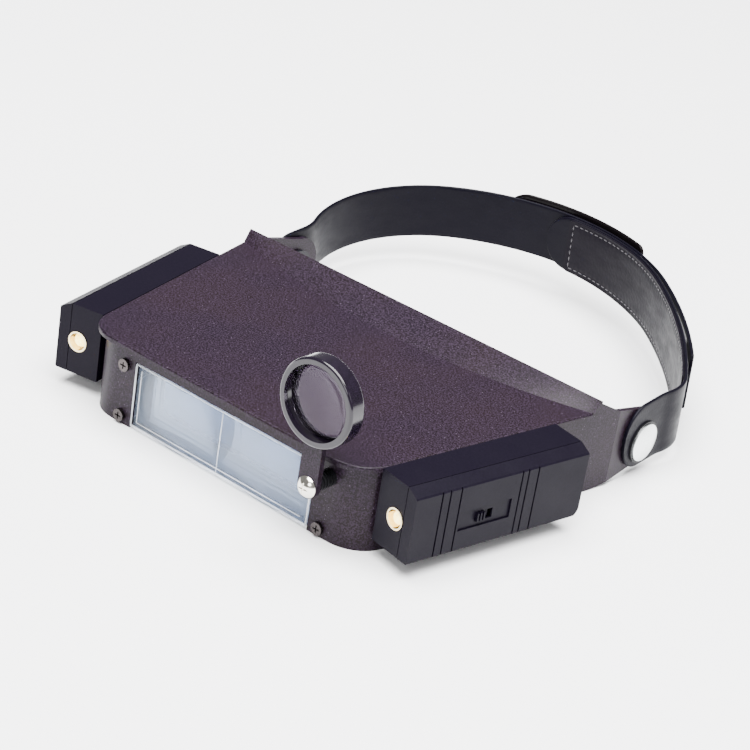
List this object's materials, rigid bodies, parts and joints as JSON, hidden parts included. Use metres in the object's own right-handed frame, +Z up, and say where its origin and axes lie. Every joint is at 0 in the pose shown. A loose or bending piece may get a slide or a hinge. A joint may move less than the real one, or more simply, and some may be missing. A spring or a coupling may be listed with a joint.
{
  "type": "head visor magnifier",
  "caption": "Head-worn magnifying visor with a binocular lens plate, flip-down second lens, swing-in loupe, a battery lamp on each side and an adjustable strap headband.",
  "frame": {"origin": "bottom centre of the whole object's box at rest on a table, under the brow edge of the visor", "axes": "+Z up, -Y the way the wearer looks, +X the wearer's left"},
  "size_m": [0.2174, 0.2793, 0.0774],
  "materials": {
    "visor_plastic": "fine grained, metal flecked",
    "lens_acrylic": "polished clear acrylic",
    "loupe_glass": "polished clear glass",
    "loupe_plastic": "polished",
    "black_fixings": "satin black",
    "dark_screws": "blackened brass",
    "nickel": "polished nickel",
    "lamp_plastic": "satin moulded",
    "reflector_metal": "bright",
    "bulb_glass": "lit bulb",
    "cell_jacket": "printed sleeve, left plain",
    "contact_steel": "spring steel",
    "strap_vinyl": "smooth vinyl",
    "lining_leatherette": "soft grained leatherette",
    "hook_fabric": "hook and loop pile",
    "rivet_metal": "satin",
    "backing_plastic": "satin"
  },
  "bodies": {
    "headband": {"left_strap": "strap_vinyl", "right_strap": "strap_vinyl", "stitched_lining": "lining_leatherette", "hook_and_loop_patch": "hook_fabric", "adjusting_tab": "strap_vinyl", "backing_plate_left": "backing_plastic", "backing_plate_right": "backing_plastic", "pivot_washer_left": "black_fixings", "pivot_washer_right": "black_fixings", "rivet_left": "rivet_metal", "rivet_right": "rivet_metal"},
    "visor": {"visor_shell": "visor_plastic", "main_lens": "lens_acrylic", "lens_screws": "dark_screws", "lens_nuts": "black_fixings", "loupe_spacer": "black_fixings", "loupe_screw": "nickel", "loupe_nut": "black_fixings", "flip_bracket_left": "visor_plastic", "flip_bracket_right": "visor_plastic", "lamp_case_left": "lamp_plastic", "lamp_case_right": "lamp_plastic", "reflector_left": "reflector_metal", "reflector_right": "reflector_metal", "bulb_left": "bulb_glass", "bulb_right": "bulb_glass", "bulb_holder_left": "lamp_plastic", "bulb_holder_right": "lamp_plastic", "batteries_left": "cell_jacket", "batteries_right": "cell_jacket", "contact_plates_left": "contact_steel", "contact_plates_right": "contact_steel", "case_screws_left": "dark_screws", "case_screws_right": "dark_screws"},
    "flip_lens": {"flip_lens": "lens_acrylic", "flip_lens_clip": "loupe_plastic", "flip_hinge_pin": "nickel"},
    "loupe": {"loupe_arm": "visor_plastic", "loupe_ring": "loupe_plastic", "loupe_lens": "loupe_glass", "loupe_retaining_ring": "loupe_plastic"},
    "lamp_lid_left": {"lamp_lid_left": "lamp_plastic"},
    "lamp_lid_right": {"lamp_lid_right": "lamp_plastic"},
    "switch_left": {"switch_slider_left": "lamp_plastic"},
    "switch_right": {"switch_slider_right": "lamp_plastic"}
  },
  "joints": [
    {"name": "visor_tilt", "type": "hinge", "parent": "headband", "child": "visor", "pos_m": [0, 0.01944, 0.0148], "axis": [-1, 0, 0], "range_deg": [-5, 60]},
    {"name": "flip_lens_hinge", "type": "hinge", "parent": "visor", "child": "flip_lens", "pos_m": [0, -0.11046, 0.0308], "axis": [1, 0, 0], "range_deg": [0, 84]},
    {"name": "loupe_swing", "type": "hinge", "parent": "visor", "child": "loupe", "pos_m": [0.054, -0.13606, 0.026], "axis": [0, -1, 0], "range_deg": [-90, 110]},
    {"name": "lid_pull_left", "type": "slide", "parent": "visor", "child": "lamp_lid_left", "axis": [0.981, -0.1942, 0], "range_m": [0, 0.015]},
    {"name": "lid_pull_right", "type": "slide", "parent": "visor", "child": "lamp_lid_right", "axis": [-0.981, -0.1942, 0], "range_m": [0, 0.015]},
    {"name": "switch_slide_left", "type": "slide", "parent": "lamp_lid_left", "child": "switch_left", "axis": [0.1942, 0.981, 0], "range_m": [0, 0.004]},
    {"name": "switch_slide_right", "type": "slide", "parent": "lamp_lid_right", "child": "switch_right", "axis": [-0.1942, 0.981, 0], "range_m": [0, 0.004]}
  ]
}
